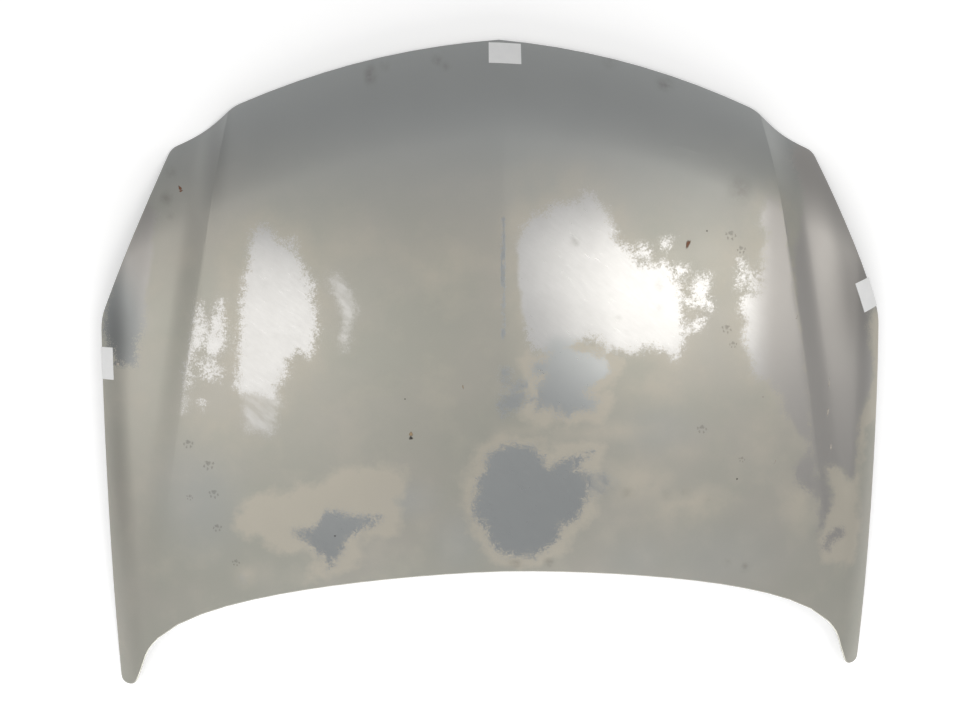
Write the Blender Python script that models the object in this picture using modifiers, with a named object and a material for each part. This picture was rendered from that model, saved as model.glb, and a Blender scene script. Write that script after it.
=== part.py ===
"""Pressed steel car bonnet, off the car and lying outer side up.

Metres, +Z up, +Y towards the nose. The outer skin follows one formula, surface(),
and every other piece is placed at a depth below it. The panel rests on its nose
corners and horn tips, so an empty lowers the whole assembly onto the floor.
"""
from math import ceil, cos, hypot, pi, sin

import bmesh
import bpy
import numpy as np
from mathutils import Matrix, Vector
from mathutils.geometry import delaunay_2d_cdt

# Plan of the panel
LENGTH = 1.200
CENTRE_LENGTH = 0.950
HORN_WIDTH = 1.453
WAIST_WIDTH = 1.443
NOTCH_WIDTH = 0.952
NOSE_SWEEP = 0.118
NOSE_VEE = 0.073
LAMP_FRONT_WIDTH = 1.184
LAMP_FRONT_BACK = 0.192
LAMP_REAR_BACK = 0.497
LAMP_HOLLOW = 0.008
HORN_TIP_WIDTH = 0.030
HORN_ROOT_WIDTH = 0.088
HORN_ROOT_RISE = 0.106
NOTCH_CORNER = 0.012
LAMP_FRONT_CORNER = 0.013
LAMP_REAR_CORNER = 0.020
HORN_CORNER = 0.0145
ROOT_CORNER = 0.0001

# How far the plan's curves are pulled: shares of the run from notch to lamp, then metres
LAMP_PULLS = ((0.26, 0.37), (0.50, 0.70))
HORN_TIP_PULL = (-0.034, 0.064)
HORN_ROOT_PULL = (0.037, -0.037)
REAR_ROOT_PULL = (-0.110, 0.108)
REAR_CENTRE_PULL = 0.161

# Form of the outer face
CROWN_Y = -0.030
REAR_CROWN_RADIUS = 3.6
FRONT_CROWN_RADIUS = 2.2
CROSS_CROWN_RADIUS = 2.8
NOSE_ROLL_LENGTH = 0.180
NOSE_ROLL_RADIUS = 0.45
SIDE_ROLL_WIDTH = 0.058
SIDE_ROLL_RADIUS = 0.12
CREASE_X = 0.484
CREASE_SLOPE = 0.135
CREASE_BOW = 0.045
CREASE_REAR_Y = -0.430
SWAGE_DROP = 0.014
SWAGE_WIDTH = 0.050
SWAGE_RISE = 0.004
SWAGE_RISE_WIDTH = 0.060
RIDGE_HEIGHT = 0.004
RIDGE_WIDTH = 0.150
RIDGE_REAR_Y = -0.230

# Sheets, hem and clearance
SKIN_THICKNESS = 0.0008
FRAME_THICKNESS = 0.0007
HEM_GAP = 0.0004
HEM_RETURN = 0.008
CLEARANCE = 0.0003

# Inner frame
FLANGE_WIDTH = 0.009
EDGE_RAMP = 0.026
FLOOR_DEPTH = 0.024
RIM_DEPTH = 0.005
RIM_WIDTH = 0.014
RIM_RAMP = 0.022
WINDOW_CORNER = 0.035
WINDOW_STEP = 0.060
REAR_CENTRE_WINDOW = ((0, -0.035), (0.175, -0.035), (0.265, -0.265), (0, -0.265))
FRONT_CENTRE_WINDOW = ((0, 0.320), (0.058, 0.320), (0.145, 0.045), (0, 0.045))
FRONT_SIDE_WINDOW = ((0.160, 0.330), (0.440, 0.330), (0.505, 0.050), (0.245, 0.050))
REAR_SIDE_WINDOW = ((0.272, -0.030), (0.535, -0.030), (0.520, -0.255), (0.362, -0.255))

# Seats pressed flat in the frame's floor
SEAT_DEPTH = 0.026
LATCH_SEAT = (0.0, 0.455)
LATCH_SEAT_SIZE = (0.128, 0.062)
LATCH_HOLE_PITCH = 0.076
LATCH_HOLE = 0.0074
HINGE_SEAT = (0.630, -0.335)
HINGE_SEAT_SIZE = (0.050, 0.104)
HINGE_HOLE_PITCH = 0.060
HINGE_HOLE = 0.0094
ROUND_SEAT = 0.040
STOP_HOLE = 0.011
SOCKET_HOLE = 0.0156
FRONT_STOP_SEAT = (0.385, 0.425)
SIDE_STOP_SEAT = (0.655, 0.050)
SOCKET_SEAT = (0.270, 0.425)

# Plates, nuts, bolts and striker
PLATE_MARGIN = 0.004
LATCH_PLATE = 0.0015
HINGE_PLATE = 0.0020
STRIKER_PLATE = 0.0025
STRIKER_PLATE_SIZE = (0.104, 0.048)
WIRE = 0.008
LOOP_SPAN = 0.030
LOOP_DROP = 0.040
LOOP_BEND = 0.008
M6_WIDTH = 0.010
M6_HEIGHT = 0.005
M6_HEAD = 0.004
M6_SHANK = 0.006
M8_WIDTH = 0.013
M8_HEIGHT = 0.0065
M8_SHANK = 0.008
NUT_PLAY = 0.0008
LEG_PLAY = 0.0002

# Rubber stops, prop rod socket and mastic
STOP_WIDTH = 0.026
STOP_HEIGHT = 0.014
STOP_NECK = 0.0096
STOP_BARB = 0.015
STOP_BEVEL = 0.003
BARB_HEIGHT = 0.006
BARB_TAPER = 0.001
SOCKET_WIDTH = 0.026
SOCKET_FLANGE = 0.0025
SOCKET_BARREL = 0.0142
SOCKET_HEIGHT = 0.014
SOCKET_BORE = 0.0100
SOCKET_FLOOR = 0.002
SOCKET_BEVEL = 0.001
DAB_WIDTH = 0.013
DAB_GAP = 0.00045
REAR_CENTRE_DABS = (0.25, 0.75)
FRONT_CENTRE_DABS = (0.5,)
FRONT_SIDE_DABS = (0.1, 0.4, 0.8)
REAR_SIDE_DABS = (0.1, 0.45, 0.8)

# How finely the sheets are divided, and how far apart their points stay
OUTLINE_STEPS = (9, 14, 7, 11, 1, 7, 13)
FILL_STEP = 0.075
FRAME_FILL_STEP = 0.062
GUIDE_STEP = 0.060
FILL_ROOM = 0.55
ROW_PITCH = 0.87
CREASE_START = 0.020
SWAGE_ROWS = (0.25, 0.5, 0.75, 1.0, 2.2)
NOSE_ROWS = (0.15, 0.30, 0.45, 0.60, 0.75, 0.90, 1.05)
EDGE_ROOM = 0.018
GUIDE_ROOM = 0.016
SEAT_ROOM = 0.012
FRAME_ROOM = 0.010
TURN_STEPS = 12
LOOP_STEPS = 4
SHARP_ANGLE = 0.5
MERGE = 0.0001
WELD = 0.00001

HEM_RADIUS = SKIN_THICKNESS + HEM_GAP + FRAME_THICKNESS / 2
FLANGE_DEPTH = SKIN_THICKNESS + HEM_GAP
NOSE_Y = LENGTH / 2
NOTCH_Y = NOSE_Y - NOSE_SWEEP
FRAME_UNDER = -FRAME_THICKNESS - CLEARANCE


def ramp(value):
    """Limit a value to the range from 0 to 1."""
    return min(max(value, 0.0), 1.0)


def ease(value):
    """Smooth step from 0 to 1."""
    t = ramp(value)
    return t * t * (3 - 2 * t)


def crease_x(y):
    """Distance of the crease from the centre line at a place along the panel."""
    back = NOTCH_Y - y
    return CREASE_X + CREASE_SLOPE * back + CREASE_BOW * back * back


def form(x, y):
    """Height of the outer face before the panel is levelled."""
    side = abs(x)
    radius = FRONT_CROWN_RADIUS if y > CROWN_Y else REAR_CROWN_RADIUS
    z = -(y - CROWN_Y) ** 2 / (2 * radius) - side ** 2 / (2 * CROSS_CROWN_RADIUS)
    behind_nose = NOSE_Y - NOSE_VEE * side - nose_bow() * side ** 2 - y
    z -= max(0.0, NOSE_ROLL_LENGTH - behind_nose) ** 2 / (2 * NOSE_ROLL_RADIUS)
    roll = side - (WAIST_WIDTH / 2 - SIDE_ROLL_WIDTH)
    z -= max(0.0, roll) ** 2 / (2 * SIDE_ROLL_RADIUS)
    fade = ramp((y - CREASE_REAR_Y) / (NOTCH_Y - CREASE_REAR_Y))
    past = side - crease_x(y)
    t = ramp(past / SWAGE_WIDTH)
    z -= SWAGE_DROP * fade * (0.5 * (1 - (1 - t) ** 2) + 0.5 * ease(t))
    z += SWAGE_RISE * fade * ease((past - SWAGE_WIDTH) / SWAGE_RISE_WIDTH)
    ridge_fade = ramp((y - RIDGE_REAR_Y) / (NOTCH_Y - RIDGE_REAR_Y))
    z += RIDGE_HEIGHT * ridge_fade * ramp(1 - side / RIDGE_WIDTH) ** 2
    return z


def nose_bow():
    """Bow of the nose edge, from its sweep between the centre and the notch."""
    half = NOTCH_WIDTH / 2
    return (NOSE_SWEEP - NOSE_VEE * half) / half ** 2


def surface(x, y):
    """Height of the outer face, level between nose corners and horn tips."""
    lamp = (LAMP_FRONT_WIDTH / 2, NOSE_Y - LAMP_FRONT_BACK)
    horn = (HORN_WIDTH / 2, -LENGTH / 2)
    rake = (form(*horn) - form(*lamp)) / (lamp[1] - horn[1])
    return form(x, y) + rake * y


def normal(x, y, step=0.0004):
    """Upward normal of the outer face."""
    slope_x = (surface(x + step, y) - surface(x - step, y)) / (2 * step)
    slope_y = (surface(x, y + step) - surface(x, y - step)) / (2 * step)
    return Vector((-slope_x, -slope_y, 1)).normalized()


def below(x, y, depth):
    """Point at a depth below the outer face, measured square to it."""
    return Vector((x, y, surface(x, y))) - normal(x, y) * depth


def bezier(points, steps=40):
    """Points along a Bezier curve of any degree, both ends included."""
    curve = []
    for t in np.linspace(0, 1, steps + 1):
        row = [np.array(point, float) for point in points]
        while len(row) > 1:
            row = [a + (b - a) * t for a, b in zip(row, row[1:])]
        curve.append(row[0])
    return np.array(curve)


def resampled(line, start, end, steps):
    """Points spaced evenly along a line, leaving a length out at each end."""
    lengths = np.hypot(*np.diff(line, axis=0).T)
    run = np.concatenate(([0], np.cumsum(lengths)))
    stations = np.linspace(start, run[-1] - end, steps + 1)
    return np.column_stack([np.interp(stations, run, line[:, k]) for k in (0, 1)])


def joined(stretches, corners, steps, corner_steps=4):
    """Join stretches end to end, with a soft corner of a given cut at each joint."""
    cuts = [0, *corners, 0]
    line = []
    for stretch, before, after, count in zip(stretches, cuts, cuts[1:], steps):
        part = resampled(stretch, before, after, count)
        if before:
            line.extend(bezier((line[-1], stretch[0], part[0]), corner_steps)[1:-1])
        line.extend(part if before or not line else part[1:])
    return np.array(line)


def pulled(place, pull):
    """Handle of a curve that leaves a place."""
    return place[0] + pull[0], place[1] + pull[1]


def half_outline():
    """Plan of the +X half, clockwise from the nose centre to the rear centre."""
    nose = (0, NOSE_Y)
    notch = (NOTCH_WIDTH / 2, NOTCH_Y)
    lamp_front = (LAMP_FRONT_WIDTH / 2, NOSE_Y - LAMP_FRONT_BACK)
    lamp_rear = (WAIST_WIDTH / 2, NOSE_Y - LAMP_REAR_BACK)
    horn = (HORN_WIDTH / 2, -LENGTH / 2)
    tip = (horn[0] - HORN_TIP_WIDTH, horn[1])
    root = (horn[0] - HORN_ROOT_WIDTH, -LENGTH / 2 + HORN_ROOT_RISE)
    centre = (0, NOSE_Y - CENTRE_LENGTH)
    bend_x, bend_y = lamp_front[0] - notch[0], lamp_front[1] - notch[1]
    pulls = [(notch[0] + out * bend_x, notch[1] + back * bend_y) for out, back in LAMP_PULLS]
    stretches = (
        bezier((nose, (notch[0] / 2, nose[1] - NOSE_VEE * notch[0] / 2), notch)),
        bezier((notch, *pulls, lamp_front)),
        bezier((lamp_front,
                ((lamp_front[0] + lamp_rear[0]) / 2 - LAMP_HOLLOW,
                 (lamp_front[1] + lamp_rear[1]) / 2),
                lamp_rear)),
        bezier((lamp_rear, horn)),
        bezier((horn, tip)),
        bezier((tip, pulled(tip, HORN_TIP_PULL), pulled(root, HORN_ROOT_PULL), root)),
        bezier((root, pulled(root, REAR_ROOT_PULL), (REAR_CENTRE_PULL, centre[1]), centre)),
    )
    corners = (NOTCH_CORNER, LAMP_FRONT_CORNER, LAMP_REAR_CORNER, HORN_CORNER, HORN_CORNER,
               ROOT_CORNER)
    return joined(stretches, corners, OUTLINE_STEPS)


def offset(line, distance, closed=False):
    """Move a clockwise outline outwards; an open one ends on the centre line."""
    if closed:
        before = np.roll(line, 1, axis=0)
        after = np.roll(line, -1, axis=0)
    else:
        mirror = np.array((-1, 1))
        before = np.vstack((line[1] * mirror, line[:-1]))
        after = np.vstack((line[1:], line[-2] * mirror))
    normals = []
    for step in (line - before, after - line):
        length = np.hypot(*step.T)
        normals.append(np.column_stack((-step[:, 1], step[:, 0])) / length[:, None])
    first, second = normals
    mitre = (first + second) / (1 + (first * second).sum(axis=1))[:, None]
    moved = line + mitre * distance
    if not closed:
        moved[[0, -1], 0] = 0
    return moved


def distance_to(line, point, closed=False):
    """Shortest distance from a point to an outline."""
    start = line if closed else line[:-1]
    step = (np.roll(line, -1, axis=0) if closed else line[1:]) - start
    reach = point - start
    along = np.clip((reach * step).sum(axis=1) / (step * step).sum(axis=1), 0, 1)
    return np.hypot(*(reach - step * along[:, None]).T).min()


def inside(line, x, y):
    """Whether a point lies inside a closed outline."""
    found = False
    for (ax, ay), (bx, by) in zip(line, np.roll(line, -1, axis=0)):
        if (ay > y) != (by > y) and x < ax + (bx - ax) * (y - ay) / (by - ay):
            found = not found
    return found


class Window:
    """A lightening window in the frame, and half of one that crosses the centre."""

    def __init__(self, corners):
        points = [np.array(corner, float) for corner in corners]
        self.closed = points[0][0] > 0
        if self.closed:
            middle = (points[0] + points[-1]) / 2
            points = [middle, *points, middle]
        edges = [np.array(pair) for pair in zip(points, points[1:])]
        steps = [max(1, round(np.hypot(*(b - a)) / WINDOW_STEP) - 1) for a, b in edges]
        line = joined(edges, [WINDOW_CORNER] * (len(edges) - 1), steps, 3)
        self.line = line[:-1] if self.closed else line

    def ring(self, distance):
        """The window's outline moved outwards."""
        return offset(self.line, distance, self.closed)


class Seat:
    """A flat place in the frame's floor, square to the skin above its centre."""

    def __init__(self, place, outline, holes):
        x, y = place
        self.place = Vector((x, y, 0))
        self.normal = normal(x, y)
        self.across = (Vector((1, 0, 0)) - self.normal * self.normal.x).normalized()
        self.along = self.normal.cross(self.across)
        self.centre = below(x, y, SEAT_DEPTH)
        self.outline = self.plan(outline)
        self.holes = [self.plan(hole) for hole in holes]
        self.reach = max(hypot(u, v) for u, v in outline)

    def plan(self, points):
        """Plan places, on the skin, of points given across and along the seat."""
        return np.array([(self.place + self.across * u + self.along * v)[:2]
                         for u, v in points])

    def holds(self, x, y):
        """Whether a plan point belongs to the seat, its edge included."""
        if hypot(x - self.place.x, y - self.place.y) > self.reach + MERGE:
            return False
        near = distance_to(self.outline, np.array((x, y)), True) < WELD
        return near or inside(self.outline, x, y)

    def lift(self, x, y):
        """Point of the flat seat for a plan point."""
        shift = self.normal * SEAT_DEPTH
        px, py = x - shift.x, y - shift.y
        rise = (self.normal.x * (px - self.centre.x)
                + self.normal.y * (py - self.centre.y)) / self.normal.z
        return Vector((px, py, self.centre.z - rise))


def circle(diameter, u=0.0, v=0.0, steps=TURN_STEPS):
    """Corners of a round outline, clockwise."""
    angles = [-2 * pi * (i + 0.5) / steps for i in range(steps)]
    return [(u + diameter / 2 * cos(a), v + diameter / 2 * sin(a)) for a in angles]


def box_outline(width, length, corner=0.010):
    """Rectangle with cut corners, clockwise."""
    w, h = width / 2, length / 2
    return [(-w + corner, h), (w - corner, h), (w, h - corner), (w, -h + corner),
            (w - corner, -h), (-w + corner, -h), (-w, -h + corner), (-w, h - corner)]


def half_box_outline(width, length, corner=0.010):
    """The +X half of a rectangle with cut corners, clockwise from the centre line."""
    w, h = width / 2, length / 2
    return [(0, h), (w - corner, h), (w, h - corner), (w, -h + corner),
            (w - corner, -h), (0, -h)]


def pair(pitch):
    """The two ends of a pitch."""
    return -pitch / 2, pitch / 2


def seats():
    """The seats of the +X half, by name."""
    round_seat = circle(ROUND_SEAT)
    stop_hole = [circle(STOP_HOLE, steps=8)]
    return {
        "latch": Seat(LATCH_SEAT, half_box_outline(*LATCH_SEAT_SIZE),
                      [circle(LATCH_HOLE, LATCH_HOLE_PITCH / 2, 0, 10)]),
        "hinge": Seat(HINGE_SEAT, box_outline(*HINGE_SEAT_SIZE),
                      [circle(HINGE_HOLE, 0, v, 10) for v in pair(HINGE_HOLE_PITCH)]),
        "front_stop": Seat(FRONT_STOP_SEAT, round_seat, stop_hole),
        "side_stop": Seat(SIDE_STOP_SEAT, round_seat, stop_hole),
        "socket": Seat(SOCKET_SEAT, round_seat, [circle(SOCKET_HOLE)]),
    }


def material(name, colour, roughness, metallic=0.0):
    """Plain Principled material."""
    made = bpy.data.materials.new(name)
    made.use_nodes = True
    shader = made.node_tree.nodes["Principled BSDF"]
    shader.inputs["Base Color"].default_value = (*colour, 1)
    shader.inputs["Roughness"].default_value = roughness
    shader.inputs["Metallic"].default_value = metallic
    return made


def collection(name):
    """New collection in the scene."""
    made = bpy.data.collections.new(name)
    bpy.context.scene.collection.children.link(made)
    return made


def add(name, data, group, parent, look=None):
    """New object from a mesh or a curve."""
    made = bpy.data.objects.new(name, data)
    group.objects.link(made)
    made.parent = parent
    if look and not data.materials:
        data.materials.append(look)
    return made


def fill(points, outline, spacing, blocked=None):
    """Rows of points inside the half outline, clear of the points already there."""
    taken = np.array(points)
    added = []
    rows = ceil(LENGTH / spacing)
    for row in range(-rows, rows + 1):
        for column in range(1, ceil(HORN_WIDTH / 2 / spacing) + 1):
            x = (column - row % 2 / 2) * spacing
            place = np.array((x, row * spacing * ROW_PITCH))
            if np.hypot(*(taken - place).T).min() < FILL_ROOM * spacing:
                continue
            if inside(outline, *place) and not (blocked and blocked(*place)):
                added.append(place)
    return added


def half_sheet(outline, chains, points, holes, lift):
    """Triangles over the half plan, each corner lifted by lift(x, y)."""
    coords = []
    edges = []
    for chain, closed in [(outline, True), *chains]:
        first = len(coords)
        coords.extend(chain)
        count = len(chain)
        edges.extend((first + i, first + i + 1) for i in range(count - 1))
        if closed:
            edges.append((first + count - 1, first))
    coords.extend(points)
    places = [Vector(place) for place in coords]
    flat, _, faces = delaunay_2d_cdt(places, edges, [], 1, WELD)[:3]
    sheet = bmesh.new()
    corners = [sheet.verts.new(lift(x, y)) for x, y in flat]
    for face in faces:
        x, y = sum((flat[i] for i in face), Vector((0, 0))) / 3
        if inside(outline, x, y) and not any(inside(hole, x, y) for hole in holes):
            sheet.faces.new([corners[i] for i in face])
    loose = [corner for corner in sheet.verts if not corner.link_faces]
    bmesh.ops.delete(sheet, geom=loose, context="VERTS")
    return sheet


def shell(name, sheet, thickness, group, parent, look):
    """Mirror a half sheet and thicken it inwards."""
    mesh = bpy.data.meshes.new(name)
    sheet.to_mesh(mesh)
    sheet.free()
    made = add(name, mesh, group, parent, look)
    mirror = made.modifiers.new("Mirror", "MIRROR")
    mirror.merge_threshold = MERGE
    mirror.use_clip = True
    thicken = made.modifiers.new("Solidify", "SOLIDIFY")
    thicken.thickness = thickness
    thicken.offset = -1
    thicken.use_even_offset = True
    mesh.shade_smooth()
    mesh.set_sharp_from_angle(angle=SHARP_ANGLE)
    return made


def centre_line(edge, step):
    """Places along the centre line between the ends of a half outline."""
    top, bottom = edge[0][1], edge[-1][1]
    count = round((top - bottom) / step)
    return [(0.0, bottom + (top - bottom) * i / count) for i in range(1, count)]


def guide_lines(outline):
    """Places along the crease, and across the swage, the side roll and the nose roll."""
    crease = []
    others = []
    front = NOTCH_Y - CREASE_START
    count = round((NOTCH_Y - CREASE_REAR_Y) / GUIDE_STEP)
    for i in range(count + 1):
        y = front + (CREASE_REAR_Y - front) * i / count
        crease.append((crease_x(y), y))
        for share in SWAGE_ROWS:
            others.append((crease_x(y) + share * SWAGE_WIDTH, y))
    roll_start = WAIST_WIDTH / 2 - SIDE_ROLL_WIDTH
    for i in range(ceil(LENGTH / GUIDE_STEP)):
        y = -LENGTH / 2 + i * GUIDE_STEP
        others.append((roll_start, y))
        others.append((roll_start + SIDE_ROLL_WIDTH / 2, y))
    across = round(NOTCH_WIDTH / 2 / GUIDE_STEP)
    for i in range(1, across + 1):
        x = NOTCH_WIDTH / 2 * i / across
        edge_y = NOSE_Y - NOSE_VEE * x - nose_bow() * x * x
        for share in NOSE_ROWS:
            others.append((x, edge_y - share * NOSE_ROLL_LENGTH))
    keep = []
    for place in others:
        deep = distance_to(outline, np.array(place)) > EDGE_ROOM
        if inside(outline, *place) and deep:
            if all(hypot(place[0] - x, place[1] - y) > GUIDE_ROOM for x, y in keep + crease):
                keep.append(place)
    return crease, keep


def make_skin(outline, group, parent):
    """Outer skin: crowned panel with a hem folded round its whole edge."""
    edge = offset(outline, -HEM_RADIUS)
    flange = offset(outline, -HEM_RADIUS - FLANGE_WIDTH)
    crease, guides = guide_lines(outline)
    middle = centre_line(edge, FILL_STEP)
    points = [*guides, *middle]
    points += fill([*points, *edge, *crease], flange, FILL_STEP)
    region = np.vstack((edge, middle))
    sheet = half_sheet(region, [(flange, False), (crease, False)], points, [],
                       lambda x, y: below(x, y, 0))
    rows = []
    outwards = (outline - edge) / HEM_RADIUS
    for (x, y), out, back in zip(edge, outwards, offset(edge, -HEM_RETURN)):
        start = below(x, y, 0)
        down = -normal(x, y)
        side = Vector((out[0], out[1], 0))
        side = (side - down * side.dot(down)).normalized() * hypot(*out)
        row = [start]
        for angle in (pi / 3, 2 * pi / 3, pi):
            row.append(start + (side * sin(angle) + down * (1 - cos(angle))) * HEM_RADIUS)
        row.append(below(back[0], back[1], 2 * HEM_RADIUS))
        rows.append([sheet.verts.new(point) for point in row])
    for first, second in zip(rows, rows[1:]):
        for a, b, c, d in zip(first, first[1:], second[1:], second):
            sheet.faces.new((d, c, b, a))
    bmesh.ops.remove_doubles(sheet, verts=sheet.verts, dist=WELD)
    look = material("bonnet_paint", (0.36, 0.35, 0.31), 0.55, 0.1)
    return shell("outer_skin", sheet, SKIN_THICKNESS, group, parent, look)


def make_frame(outline, windows, flats, group, parent):
    """Inner frame: flange in the hem, sunk floor, raised window rims, flat seats."""
    edge = offset(outline, -HEM_RADIUS - 2 * CLEARANCE)
    flange = offset(outline, -HEM_RADIUS - FLANGE_WIDTH)
    holes = [window.line for window in windows]
    chains = [(flange, False)]
    points = []
    for window in windows:
        chains.append((window.line, window.closed))
        chains.append((window.ring(RIM_WIDTH), window.closed))
        points += list(window.ring(RIM_WIDTH + RIM_RAMP))
    for seat in flats.values():
        closed = seat.place.x > 0
        chains.append((seat.outline, closed))
        for hole in seat.holes:
            chains.append((hole, True))
            holes.append(hole)

    def depth(x, y):
        place = np.array((x, y))
        edge_run = distance_to(outline, place) - HEM_RADIUS - FLANGE_WIDTH
        deep = FLANGE_DEPTH + (FLOOR_DEPTH - FLANGE_DEPTH) * ease(edge_run / EDGE_RAMP)
        for window in windows:
            run = distance_to(window.line, place, window.closed) - RIM_WIDTH
            deep = RIM_DEPTH + (deep - RIM_DEPTH) * ease(run / RIM_RAMP)
        return deep

    def lift(x, y):
        for seat in flats.values():
            if seat.holds(x, y):
                return seat.lift(x, y)
        return below(x, y, depth(x, y))

    def blocked(x, y):
        near_seat = any(hypot(x - seat.place.x, y - seat.place.y) < seat.reach + SEAT_ROOM
                        for seat in flats.values())
        return near_seat or any(inside(window.line, x, y) for window in windows)

    foot_run = HEM_RADIUS + FLANGE_WIDTH + EDGE_RAMP
    for place in offset(outline, -foot_run):
        if distance_to(outline, place) > foot_run - CLEARANCE:
            points.append(place)
    crease, _ = guide_lines(outline)
    points += [place for place in crease[1:] if not blocked(*place)]
    near = np.array(points)
    keep = [near[0]]
    for place in near[1:]:
        if np.hypot(*(np.array(keep) - place).T).min() > FRAME_ROOM:
            keep.append(place)
    middle = centre_line(edge, FRAME_FILL_STEP)
    taken = [*keep, *middle, *(place for chain, _ in chains for place in chain)]
    keep += fill(taken, flange, FRAME_FILL_STEP, blocked)
    region = np.vstack((edge, middle))
    sheet = half_sheet(region, chains, keep, holes, lift)
    look = material("frame_primer", (0.30, 0.30, 0.29), 0.6, 0.1)
    return shell("inner_frame", sheet, FRAME_THICKNESS, group, parent, look)


def on_seat(made, seat, side, height, u=0.0, v=0.0):
    """Place an object square to a seat, at a height above the frame's upper face."""
    mirror = Vector((side, 1, 1))
    up = seat.normal * mirror
    across = seat.across * mirror * side
    along = up.cross(across)
    turn = Matrix((across, along, up)).transposed().to_4x4()
    place = seat.centre * mirror + across * u + along * v + up * height
    made.matrix_local = Matrix.Translation(place) @ turn


def plate(name, outline, holes, thickness, group, parent, look):
    """Flat plate with holes, halfway through its thickness on the local XY plane."""
    curve = bpy.data.curves.new(name, "CURVE")
    curve.dimensions = "2D"
    curve.fill_mode = "BOTH"
    curve.extrude = thickness / 2
    for points in (outline, *holes):
        spline = curve.splines.new("POLY")
        spline.points.add(len(points) - 1)
        spline.use_cyclic_u = True
        for point, (x, y) in zip(spline.points, points):
            point.co = (x, y, 0, 1)
    return add(name, curve, group, parent, look)


def nut(name, width, height, thread, group, parent, look):
    """Hexagon weld nut."""
    hexagon = circle(width / cos(pi / 6), steps=6)
    return plate(name, hexagon, [circle(thread + NUT_PLAY)], height, group, parent, look)


def turned(name, profile, group, parent, look):
    """Round piece turned from a profile that runs down its outer side."""
    mesh = bpy.data.meshes.new(name)
    points = [(radius, 0, height) for radius, height in profile]
    mesh.from_pydata(points, [(i, i + 1) for i in range(len(points) - 1)], [])
    made = add(name, mesh, group, parent, look)
    screw = made.modifiers.new("Screw", "SCREW")
    screw.steps = TURN_STEPS
    screw.render_steps = TURN_STEPS
    screw.use_merge_vertices = True
    screw.merge_threshold = WELD
    screw.use_smooth_shade = True
    return made


def make_latch(seat, group, cutters, parent, steel, zinc):
    """Reinforcement, weld nuts, striker plate, bolts and the striker's wire."""
    width, length = LATCH_SEAT_SIZE
    holes = [circle(LATCH_HOLE, u) for u in pair(LATCH_HOLE_PITCH)]
    outline = box_outline(width - 2 * PLATE_MARGIN, length - 2 * PLATE_MARGIN)
    stiffener = plate("latch_reinforcement", outline, holes, LATCH_PLATE, group, parent, steel)
    on_seat(stiffener, seat, 1, CLEARANCE + LATCH_PLATE / 2)
    leg_holes = [circle(WIRE + 2 * CLEARANCE, 0, v) for v in pair(LOOP_SPAN)]
    under = plate("striker_plate", box_outline(*STRIKER_PLATE_SIZE), holes + leg_holes,
                  STRIKER_PLATE, group, parent, zinc)
    on_seat(under, seat, 1, FRAME_UNDER - STRIKER_PLATE / 2)
    nut_foot = LATCH_PLATE + 2 * CLEARANCE
    head_top = FRAME_UNDER - STRIKER_PLATE - CLEARANCE
    shank_length = nut_foot + M6_HEIGHT - head_top
    for side, word in ((-1, "left"), (1, "right")):
        u = side * LATCH_HOLE_PITCH / 2
        made = nut(f"latch_weld_nut_{word}", M6_WIDTH, M6_HEIGHT, M6_SHANK, group, parent, zinc)
        on_seat(made, seat, 1, nut_foot + M6_HEIGHT / 2, u)
        head = plate(f"striker_bolt_{word}", circle(M6_WIDTH / cos(pi / 6), steps=6), [],
                     M6_HEAD, group, parent, zinc)
        shank = plate(f"bolt_shank_{word}", circle(M6_SHANK), [],
                      shank_length + M6_HEAD / 2, cutters, parent, zinc)
        on_seat(head, seat, 1, head_top - M6_HEAD / 2, u)
        on_seat(shank, seat, 1, head_top + (shank_length - M6_HEAD / 2) / 2, u)
        unite(head, shank, group, cutters)
    bend_centre = LOOP_SPAN / 2 - LOOP_BEND
    low = -LOOP_DROP + LOOP_BEND
    route = [(-LOOP_SPAN / 2, STRIKER_PLATE - LEG_PLAY)]
    for start, middle in ((-pi, -bend_centre), (-pi / 2, bend_centre)):
        for i in range(LOOP_STEPS + 1):
            angle = start + i * pi / 2 / LOOP_STEPS
            route.append((middle + LOOP_BEND * cos(angle), low + LOOP_BEND * sin(angle)))
    route.append((LOOP_SPAN / 2, STRIKER_PLATE - LEG_PLAY))
    curve = bpy.data.curves.new("striker_loop", "CURVE")
    curve.dimensions = "3D"
    curve.bevel_depth = WIRE / 2
    curve.bevel_resolution = 2
    curve.use_fill_caps = True
    spline = curve.splines.new("POLY")
    spline.points.add(len(route) - 1)
    for point, (y, z) in zip(spline.points, route):
        point.co = (0, y, z, 1)
    loop = add("striker_loop", curve, group, parent, zinc)
    on_seat(loop, seat, 1, FRAME_UNDER - STRIKER_PLATE)


def as_mesh(made, group):
    """Replace a curve object by its evaluated mesh, its caps welded."""
    bpy.context.view_layer.update()
    evaluated = made.evaluated_get(bpy.context.evaluated_depsgraph_get())
    mesh = bpy.data.meshes.new_from_object(evaluated)
    weld = bmesh.new()
    weld.from_mesh(mesh)
    bmesh.ops.remove_doubles(weld, verts=weld.verts, dist=WELD)
    bmesh.ops.recalc_face_normals(weld, faces=weld.faces)
    weld.to_mesh(mesh)
    weld.free()
    name, parent, place = made.name, made.parent, made.matrix_local.copy()
    bpy.data.objects.remove(made)
    solid = add(name, mesh, group, parent)
    solid.matrix_local = place
    return solid


def unite(body, tool, group, cutters):
    """Join two curve solids into one with a Boolean."""
    body = as_mesh(body, group)
    tool = as_mesh(tool, cutters)
    tool.hide_render = True
    tool.display_type = "WIRE"
    union = body.modifiers.new("Union", "BOOLEAN")
    union.operation = "UNION"
    union.solver = "EXACT"
    union.object = tool
    return body


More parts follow.
